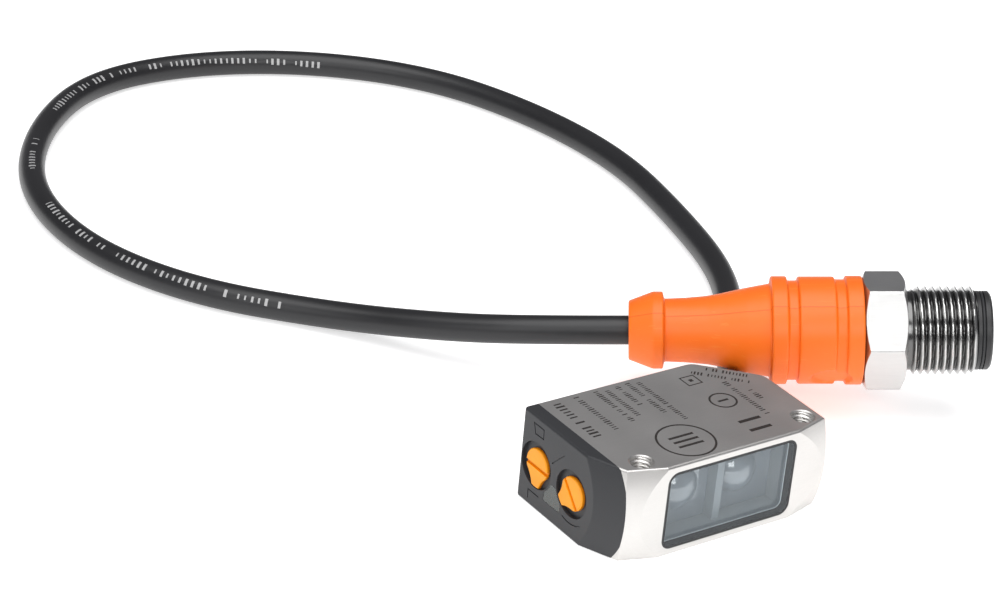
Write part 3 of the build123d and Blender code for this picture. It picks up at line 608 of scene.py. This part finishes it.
cap_plastic = moulded("charcoal_cap", (0.022, 0.023, 0.026), 0.50, 0.00016, 0.000014)
black_plastic = moulded("black_insert", (0.018, 0.018, 0.019), 0.42)
chamber_grey = moulded("chamber_grey", (0.21, 0.24, 0.26), 0.32, 0.00016)
seal_rubber = moulded("black_seal", (0.022, 0.023, 0.025), 0.55, 0.0001)
sleeve_rubber = moulded("sleeve_rubber", (0.022, 0.022, 0.024), 0.48)
trimmer_blue = moulded("trimmer_blue", (0.04, 0.10, 0.35), 0.45)
trimmer_white = moulded("trimmer_white", (0.80, 0.80, 0.76), 0.40)
chip_black = moulded("chip_black", (0.028, 0.028, 0.030), 0.60, 0.00008)
chip_pale = moulded("ceramic", (0.66, 0.56, 0.38), 0.50, 0.00008)
wire_blue = moulded("wire_insulation", (0.06, 0.10, 0.42), 0.35)
print("plastics:", cap_plastic.name, black_plastic.name, seal_rubber.name)

# %% [markdown]
# ## The orange grip's plastic
#
# The grip is a bright, slightly soft thermoplastic. Light enters it a little, so its
# shadows stay orange, and fine scuffs run along it. Dirt gathers in a very thin line
# along the mould seam. The two seams face each other, so one plane through the axis
# marks them both.

# %% Grip plastic
def plug_coordinates(finish):
    """Distance along the plug in metres, and the two directions across it, as three wires."""
    shift = finish.vectors("SUBTRACT", finish.place, tuple(PLUG_START))
    directions = (PLUG_AXIS, PLUG_UP, PLUG_SIDE)
    return [finish.vectors("DOT_PRODUCT", shift, tuple(d), "Value") for d in directions]


finish = Finish("grip_orange")
along, upward, sideward = plug_coordinates(finish)
patches = finish.noise(160.0, 3.0)
skin = finish.noise(6500.0, 3.0)
scuff_place = finish.combined(along * 120.0, upward * 2600.0, sideward * 2600.0)
scuffs = finish.noise(1.0, 4.0, scuff_place)
seam_x, seam_y = math.cos(SEAM_ANGLES[0]), math.sin(SEAM_ANGLES[0])
across_seam = abs(upward * seam_y - sideward * seam_x)
seam_line = (across_seam < 0.00006) * (along < 0.0314)
body = finish.mix(patches, (0.93, 0.150, 0.007), (1.0, 0.185, 0.010))
body = finish.mix((scuffs > 0.66) * 0.25, body, (1.0, 0.30, 0.05))
body = finish.mix(seam_line * 0.45, body, (0.45, 0.06, 0.004))
grip.data.materials.append(finish.show(finish.surface(
    Base_Color=body, Roughness=0.34 + 0.10 * patches + 0.05 * skin,
    Normal=finish.bump(0.7 * skin + 0.3 * scuffs, 0.3, 0.00001),
    Specular_IOR_Level=0.45,
)))
print("grip finish has", len(finish.tree.nodes), "nodes")

# %% [markdown]
# ## The lead's jacket
#
# The jacket is black PVC, satin and slightly uneven. A line of small white print runs
# along it and winds slowly round it. Here the print is only rows of short ticks of
# random height, with gaps as between words, because it stands for print in general.
# The pattern reads the UV map made with the tube.

# %% Jacket
finish = Finish("jacket_black")
uv = finish.node("ShaderNodeUVMap", {"uv_map": "along_and_round"}).out(0)
along, round_share, _ = finish.axes(uv)
PRINT_PITCH, WORD_PITCH = 0.0010, 0.0115
PRINT_WIND, PRINT_TURN = 2.6, 0.59  # turns per metre, and the turn at the start
PRINT_START, PRINT_END = 0.150, 0.287
cell = (along / PRINT_PITCH).floor()
within = (along / PRINT_PITCH).fract()
chance = finish.chance(cell)
word = finish.chance((along / WORD_PITCH).floor())
print_middle = (round_share - (PRINT_WIND * along - PRINT_TURN) + 0.5).fract() - 0.5
half_height = 0.022 + 0.022 * chance
tick = (abs(print_middle) < half_height) * (within > 0.25) * (within < 0.45 + 0.25 * chance)
inked = tick * (chance > 0.15) * (word > 0.2) * (along > PRINT_START) * (along < PRINT_END)
skin = finish.noise(5200.0, 3.0)
patches = finish.noise(90.0, 3.0)
black = finish.mix(patches, (0.009, 0.009, 0.010), (0.015, 0.015, 0.017))
lead.data.materials.append(finish.show(finish.surface(
    Base_Color=finish.mix(inked * 0.7, black, (0.55, 0.55, 0.55)),
    Roughness=0.30 + 0.10 * patches + 0.06 * skin,
    Normal=finish.bump(skin, 0.3, 0.00001),
)))
print("jacket finish has", len(finish.tree.nodes), "nodes")

# %% [markdown]
# ## Blasted stainless steel
#
# The housing is cast stainless steel, blasted with fine beads: an even satin with a
# very fine grain. Its broad side carries dark laser marks. A laser stains the steel
# and leaves it flat, so the marks belong in the colour and the roughness, not in the
# shape. They are stand-ins: rows of small ticks, two rings, a square and two bars.
# Each mark is a mask, 1 inside and 0 outside, and the masks are joined by taking the
# larger one.

# %% Marks on the steel
# Lengths are in mm from MARKS_X and FRONT_Y.
ROWS_ACROSS = [  # (middle along X, start and end along Y, height, tick pitch)
    (1.65, 10.1, 19.2, 1.45, 0.72), (4.85, 10.6, 19.5, 0.95, 0.48), (7.95, 11.3, 19.6, 0.85, 0.42),
    (9.45, 12.0, 19.6, 0.85, 0.42), (11.25, 13.9, 19.5, 0.85, 0.42), (12.95, 11.0, 19.6, 0.85, 0.42),
    (14.40, 8.7, 19.6, 0.85, 0.42), (24.70, 5.4, 14.6, 0.85, 0.44), (26.50, 8.4, 11.5, 0.85, 0.44),
]
ROWS_SLANTED = [  # (middle along the diagonal (X+Y), start and end along (Y-X), height, tick pitch)
    (28.75, -10.6, -2.8, 0.85, 0.44), (30.30, -10.0, -3.6, 0.85, 0.44),
]
RINGS = [(11.1, 4.6, 3.75, 0.30), (21.6, 10.6, 1.75, 0.28)]  # (middle, radius, line width)
BARS = [  # (middle, half size along X, half size along Y)
    (11.1, 5.7, 1.9, 0.22), (11.1, 4.6, 1.9, 0.22), (11.1, 3.5, 1.9, 0.22),
    (21.6, 10.6, 0.8, 0.2), (21.6, 5.2, 1.7, 0.3), (21.6, 2.9, 1.7, 0.3),
]


def ticks(finish, across, along, row, seed):
    """A row of ticks: inside the row's band and ends, and inside each tick's share of its cell."""
    middle, start, end, height, pitch = row
    cell, within = (along / pitch).floor(), (along / pitch).fract()
    chance = finish.chance(cell + seed)
    tall = abs(across - middle) < height * (0.34 + 0.16 * chance)
    band = (along > start) * (along < end) * (within > 0.2) * (within < 0.50 + 0.25 * chance)
    return tall * band * (chance > 0.1)


def laser_marks(finish):
    """1 on the marks of the upper broad side."""
    x, y, z = finish.axes()
    u, v = (x - MARKS_X) / MM, (y - FRONT_Y) / MM
    mask = 0.0 * u
    for seed, row in enumerate(ROWS_ACROSS):
        mask = mask.larger(ticks(finish, u, v, row, 17.0 * seed))
    half = math.sqrt(0.5)
    plus, minus = (u + v) * half, (v - u) * half
    for seed, row in enumerate(ROWS_SLANTED):
        mask = mask.larger(ticks(finish, plus, minus, row, 200.0 + 31.0 * seed))
    for cu, cv, radius, width in RINGS:
        reach = ((u - cu) * (u - cu) + (v - cv) * (v - cv)).root()
        mask = mask.larger(abs(reach - radius) < width / 2)
    for cu, cv, half_u, half_v in BARS:
        mask = mask.larger((abs(u - cu) < half_u) * (abs(v - cv) < half_v))
    square = abs(u - 21.0).larger(abs(v - 16.6))
    mask = mask.larger((square < 1.15) * (square > 0.95)).larger(square < 0.3)
    return mask * (z > TOP_Z - 0.05 * MM)


def blasted_steel(name, marked):
    """Satin steel: warm grey metal, roughness from fine and broad noise, and a bead-sized bump."""
    finish = Finish(name)
    beads = finish.noise(7000.0, 3.0, roughness=0.6)
    broad = finish.noise(130.0, 3.0)
    streaks = finish.noise(
        1.0, 3.0, finish.vectors("MULTIPLY", finish.place, (500.0, 6000.0, 6000.0)))
    shade = 0.5 * broad + 0.3 * beads + 0.2 * streaks
    tint = finish.mix(shade, (0.56, 0.545, 0.525), (0.76, 0.745, 0.725))
    rough = 0.30 + 0.10 * broad + 0.08 * beads
    sockets = dict(Metallic=1.0, Normal=finish.bump(0.8 * beads + 0.2 * streaks, 0.35, 0.000012))
    if marked:
        mark = laser_marks(finish)
        tint = finish.mix(mark * 0.93, tint, (0.035, 0.028, 0.026))
        rough = rough + 0.2 * mark
    return finish.show(finish.surface(Base_Color=tint, Roughness=rough, **sockets))


steel_marked = blasted_steel("blasted_steel_marked", True)
steel_plain = blasted_steel("blasted_steel", False)
print("marked steel has", len(steel_marked.node_tree.nodes), "nodes")

# %% [markdown]
# ## Turned and ground steel
#
# The nut is brighter than the housing. Its flats are ground, with fine lines across
# them, and its thread is cut and polished. The pattern stretches noise hard along one
# direction: distances along the plug count a lot on the sleeve, where the tool ran
# round, and little on the flats. Painted shade darkens the roots of the thread: the
# colour darkens there with the distance below the crest.

# %% Nut steel
finish = Finish("nut_steel")
along, upward, sideward = plug_coordinates(finish)
lines_across = finish.noise(
    1.0, 3.0, finish.combined(along * 350.0, upward * 9000.0, sideward * 9000.0))
lines_round = finish.noise(
    1.0, 3.0, finish.combined(along * 14000.0, upward * 300.0, sideward * 300.0))
on_sleeve = along > (HEAD_END + 0.02) * MM
reach = (upward * upward + sideward * sideward).root() / MM
# root: painted shade in the thread's roots, growing with the distance below the crest
root = on_sleeve * ((CREST - 0.12 - reach) / 0.35).larger(0.0).smaller(1.0)
grind = lines_across + on_sleeve * (lines_round - lines_across)
patches = finish.noise(260.0, 3.0)
ground = finish.mix(0.6 * grind + 0.4 * patches, (0.52, 0.515, 0.51), (0.67, 0.67, 0.66))
nut.data.materials.append(finish.show(finish.surface(
    # In the roots the base colour mixes towards near-black: painted shade
    Base_Color=finish.mix(root * 0.8, ground, (0.03, 0.03, 0.03)),
    Metallic=1.0,
    Roughness=0.25 - 0.15 * on_sleeve + 0.14 * grind + 0.05 * patches,
    Normal=finish.bump(grind, 0.35, 0.000012),
)))
for piece in hole_threads:
    piece.data.materials.append(steel_plain)
print("nut finish has", len(finish.tree.nodes), "nodes")

# %% [markdown]
# ## Knobs
#
# The knobs are moulded in a glossy yellow-orange so that they can be found in a dark
# machine. Their colour is a little deeper towards the rim of the head, and it darkens
# below the face, in the slot and down the sides, as painted shade.

# %% Knob plastic
KNOB_REACH = 0.0034


def knob_finish(name, joint):
    """Colour deepens with distance below the face, as painted shade, and towards the rim of the head."""
    finish = Finish(name)
    x, y, z = finish.axes()
    _, middle_y, middle_z = joints[joint]["pos_m"]
    off_y, off_z = y - middle_y, z - middle_z
    reach = (off_y * off_y + off_z * off_z).root() / KNOB_REACH
    sunk = (x - (FACE_X + 0.02 * MM)) / (0.35 * MM)
    patches, skin = finish.noise(420.0, 3.0), finish.noise(9000.0, 2.0)
    # Mix factor: painted shade below the face, a deeper tone towards the rim, and random patches
    depth = (0.55 * sunk + 0.25 * reach + 0.35 * (patches - 0.5)).larger(0.0).smaller(1.0)
    return finish.show(finish.surface(
        # The darker orange stands for painted shade in the slot and down the sides
        Base_Color=finish.mix(depth, (0.88, 0.345, 0.002), (0.80, 0.20, 0.001)),
        Roughness=0.40 + 0.12 * patches, Normal=finish.bump(skin, 0.25, 0.00001),
        Specular_IOR_Level=0.35,
    ))


knob_finishes = {
    name: knob_finish(f"{name}_yellow", f"{name}_turn") for name in ("mode_knob", "range_knob")
}
print("knob finishes:", [m.name for m in knob_finishes.values()])

# %% [markdown]
# ## Clear pieces
#
# Glass lets most light through and mirrors a little. A Principled glass would bend the
# light twice and need many samples for what is behind it, so clear pieces mix a
# Transparent shader with a glossy one. A mirror factor grows with the slant, by
# Schlick's rule. The Fresnel node isn't used, because on a back face it mirrors all
# light beyond 42 degrees, and an unbent ray would see only black. The pane's glossy
# half is a plain mirror. The lenses' glossy half is a grey plastic, because a moulded
# lens looks milky where light gathers in it.

# %% Glass and clear plastic
def clear(name, haze, tint, roughness, ior=1.5, dust=0.05, metallic=0.0):
    """Factor = haze + mirror * (1 - haze) + a little dust, and mirror = f + (1 - f) * facing^5."""
    finish = Finish(name)
    patches = finish.noise(300.0, 4.0)
    facing = finish.node("ShaderNodeLayerWeight", None, {"Blend": 0.5}).out("Facing")
    straight_on = ((ior - 1) / (ior + 1)) ** 2
    mirror = straight_on + (1 - straight_on) * facing ** 5.0
    factor = haze + (1 - haze) * mirror + dust * patches
    through = finish.node("ShaderNodeBsdfTransparent", None, {"Color": (0.97, 0.985, 0.99)}).out(0)
    gloss = finish.surface(
        Base_Color=finish.mix(patches, tint, tuple(min(1.0, c * 1.15) for c in tint)),
        Roughness=roughness + 0.03 * patches, Specular_IOR_Level=1.0, Metallic=metallic, IOR=ior,
    )
    both = finish.node("ShaderNodeMixShader", None, {0: factor, 1: through, 2: gloss}).out(0)
    return finish.show(both)


window_glass = clear("window_glass", 0.01, (0.82, 0.86, 0.90), 0.02, dust=0.01, metallic=1.0)
lens_plastic = clear("lens_plastic", 0.80, (0.19, 0.22, 0.25), 0.08, ior=1.75, dust=0.05)
indicator_plastic = clear("indicator_plastic", 0.75, (0.035, 0.045, 0.04), 0.12, dust=0.1)
# Pale colour for the painted highlight on the pane's edge
edge_highlight_finish = moulded("pane_edge_pale", (0.72, 0.78, 0.80), 0.25, cloud=0.1)
print("clear pieces:", window_glass.name, lens_plastic.name)

# %% [markdown]
# ## Boards, contacts and thin metal
#
# What is inside is only glimpsed, but each piece still gets its own finish. A circuit
# board has green lacquer over raised copper tracks, so a track mask made from stripes
# changes the colour and lifts the surface. Gold plating is smooth with soft wear.

# %% Boards and metals
TRACK_PITCH = 0.0006


def circuit_board(name):
    """Tracks are stripes, broken by noise: inside a stripe the lacquer is paler and stands higher."""
    finish = Finish(name)
    _, _, z = finish.axes()
    breaks = finish.noise(700.0, 1.0)
    stripes = (z / TRACK_PITCH).fract() < 0.45
    tracks = stripes * (breaks > 0.45)
    weave = finish.noise(3000.0, 2.0)
    return finish.show(finish.surface(
        Base_Color=finish.mix(tracks, (0.006, 0.085, 0.03), (0.02, 0.19, 0.07)),
        Roughness=0.28 + 0.14 * weave,
        Normal=finish.bump(tracks * 0.7 + 0.3 * weave, 0.4, 0.00003),
    ))


def plated(name, colour, roughness):
    """Metal whose colour and roughness wander with two sizes of noise."""
    finish = Finish(name)
    broad, fine = finish.noise(500.0, 3.0), finish.noise(9000.0, 2.0)
    return finish.show(finish.surface(
        Base_Color=finish.mix(broad, tuple(0.85 * c for c in colour), colour), Metallic=1.0,
        Roughness=roughness + 0.12 * broad + 0.06 * fine, Normal=finish.bump(fine, 0.25, 0.000006),
    ))


board_green = circuit_board("board_green")
gold = plated("gold_contact", (0.95, 0.68, 0.28), 0.18)
gland_steel = plated("gland_steel", (0.66, 0.66, 0.65), 0.26)
aperture_steel = plated("aperture_steel", (0.16, 0.16, 0.17), 0.45)
print("metals:", gold.name, gland_steel.name)

# %% [markdown]
# ## Give every CAD node its finish
#
# A CAD node keeps its shape and place, and only its material changes. The table below
# says which nodes share a finish.

# %% Assign the finishes
FINISH_OF = {
    steel_marked: ["housing"],
    cap_plastic: ["end_cap"],
    knob_finishes["mode_knob"]: ["mode_knob"],
    knob_finishes["range_knob"]: ["range_knob"],
    window_glass: ["front_window"],
    lens_plastic: ["emitter_lens", "receiver_lens"],
    indicator_plastic: ["light_guide"],
    seal_rubber: ["window_seal", "cap_seal", "mode_knob_ring", "range_knob_ring",
                  "gland_ring", "nose_ring"],
    chamber_grey: ["optic_carrier"],
    black_plastic: ["board_header", "contact_carrier", "ratchet_ring"],
    sleeve_rubber: ["strain_relief"],
    trimmer_blue: ["mode_trimmer", "range_trimmer"],
    trimmer_white: ["mode_rotor", "range_rotor"],
    chip_black: ["controller_chip", "driver_chip", "receiver_photodiode"],
    chip_pale: ["board_capacitors", "emitter_led", "status_leds"],
    wire_blue: ["core_wires", "connector_wires"],
    board_green: ["main_board", "control_board"],
    gold: ["contact_pins", "header_pins"],
    gland_steel: ["cable_gland"],
    aperture_steel: ["aperture_plate"],
}
for material, names in FINISH_OF.items():
    for name in names:
        piece = nodes[name]
        if not piece.material_slots:
            piece.data.materials.append(material)
        piece.material_slots[0].material = material
# The rod on the pane's edge gets its pale painted-highlight colour
pane_edge.data.materials.append(edge_highlight_finish)
given = {name for names in FINISH_OF.values() for name in names}
replaced = {"cable", "connector_grip", "coupling_nut"}
print("nodes with no finish:", sorted(set(nodes) - given - replaced))

# %% [markdown]
# ## Table and light
#
# The object lies on a plain white table in a studio tent. One large soft lamp hangs
# over it and a little towards the camera, and the tent behind is a darker grey, which
# the steel's broad side mirrors. The table is the brightest thing that the low faces
# see, so they look almost white.

# %% Table
table_mesh = bpy.data.meshes.new("table")
half = 4.0
corners = [(-half, -half, 0), (half, -half, 0), (half, half, 0), (-half, half, 0)]
table_mesh.from_pydata(corners, [], [(0, 1, 2, 3)])
table = bpy.data.objects.new("table", table_mesh)
scene.collection.objects.link(table)
finish = Finish("table_white")
table_mesh.materials.append(finish.show(finish.surface(
    Base_Color=(0.86, 0.86, 0.86), Roughness=0.75, Specular_IOR_Level=0.2,
    Emission_Color=(1.0, 1.0, 1.0), Emission_Strength=0.54,
)))

# %% Lamps and surroundings
def soft_lamp(name, place, target, size, power):
    """A white rectangular area lamp at place that faces target, in metres and watts."""
    data = bpy.data.lights.new(name, "AREA")
    data.shape, data.size, data.size_y = "RECTANGLE", size[0], size[1]
    data.energy = power
    lamp = bpy.data.objects.new(name, data)
    scene.collection.objects.link(lamp)
    place = np.array(place, float)
    back = place - np.array(target, float)
    back /= np.linalg.norm(back)
    right = np.cross((0.0, 1.0, 0.0) if abs(back[2]) > 0.9 else (0.0, 0.0, 1.0), back)
    right /= np.linalg.norm(right)
    up = np.cross(back, right)
    lamp.matrix_world = Matrix([*zip(right, up, back, place), (0.0, 0.0, 0.0, 1.0)])


soft_lamp("lamp_overhead", (-0.08, -0.02, 0.75), (0.0, 0.05, 0.0), (0.9, 0.7), 5.8)
soft_lamp("lamp_camera_left", (-0.75, -0.35, 0.45), (0.0, 0.02, 0.0), (0.5, 0.5), 1.6)
soft_lamp("lamp_window", (-0.26, -0.62, 0.42), (0.0, 0.0, 0.006), (0.34, 0.34), 1.6)
world = bpy.data.worlds.new("tent")
scene.world = world
world.use_nodes = True
backdrop = world.node_tree.nodes["Background"]
backdrop.inputs[0].default_value = (0.20, 0.20, 0.21, 1.0)
backdrop.inputs[1].default_value = 1.0
scene.view_settings.view_transform = "Standard"

# %% [markdown]
# ## End
#

# %% End
print("the scene is ready")
